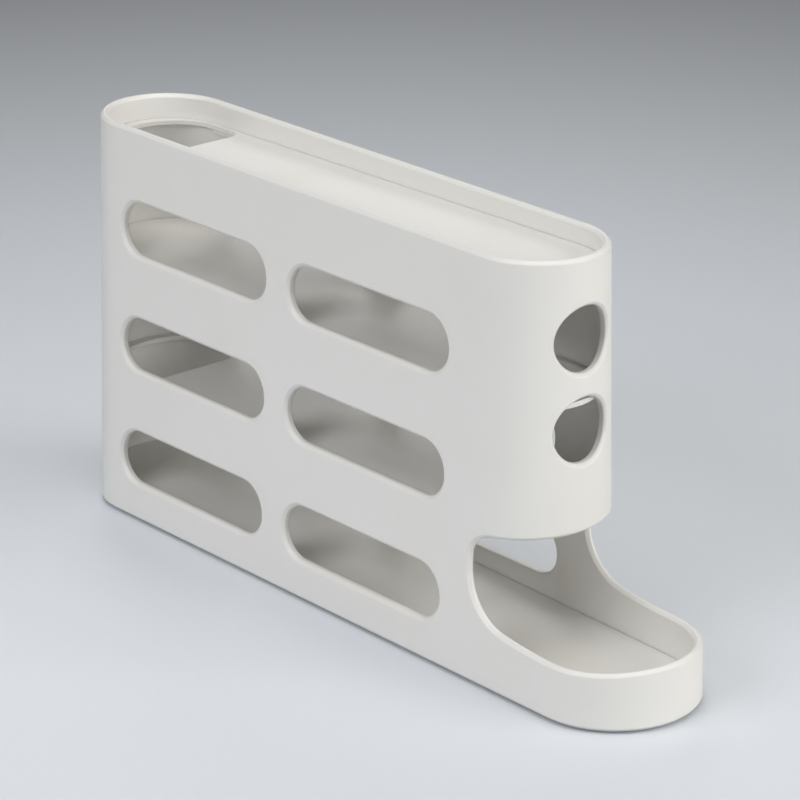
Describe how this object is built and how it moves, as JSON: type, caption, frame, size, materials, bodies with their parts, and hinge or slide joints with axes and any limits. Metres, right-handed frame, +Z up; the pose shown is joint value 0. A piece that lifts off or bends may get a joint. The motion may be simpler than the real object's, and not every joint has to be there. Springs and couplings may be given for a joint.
{
  "type": "egg dispenser",
  "caption": "Tall narrow egg dispenser: eggs roll down sloping ramps inside a white drafted housing with slot windows and stop in a low half-round catch tray at the front.",
  "frame": {"origin": "middle of the bounding box on the surface that the feet stand on", "axes": "+X is forward to the catch tray, along the length; +Y is across the width; +Z is up"},
  "size_m": [0.402, 0.084, 0.2074],
  "materials": {
    "housing_plastic": "satin",
    "ramp_plastic": "satin",
    "base_plastic": "satin",
    "foot_rubber": "matte"
  },
  "bodies": {
    "base": {"base_tray": "base_plastic", "foot_1": "foot_rubber", "foot_2": "foot_rubber", "foot_3": "foot_rubber", "foot_4": "foot_rubber", "foot_5": "foot_rubber", "foot_6": "foot_rubber"},
    "sleeve": {"housing": "housing_plastic", "top_ramp": "ramp_plastic", "second_ramp": "ramp_plastic", "third_ramp": "ramp_plastic"}
  },
  "joints": [
    {"name": "housing_lift", "type": "slide", "parent": "base", "child": "sleeve", "axis": [0, 0, 1], "range_m": [0, 0.06]}
  ]
}
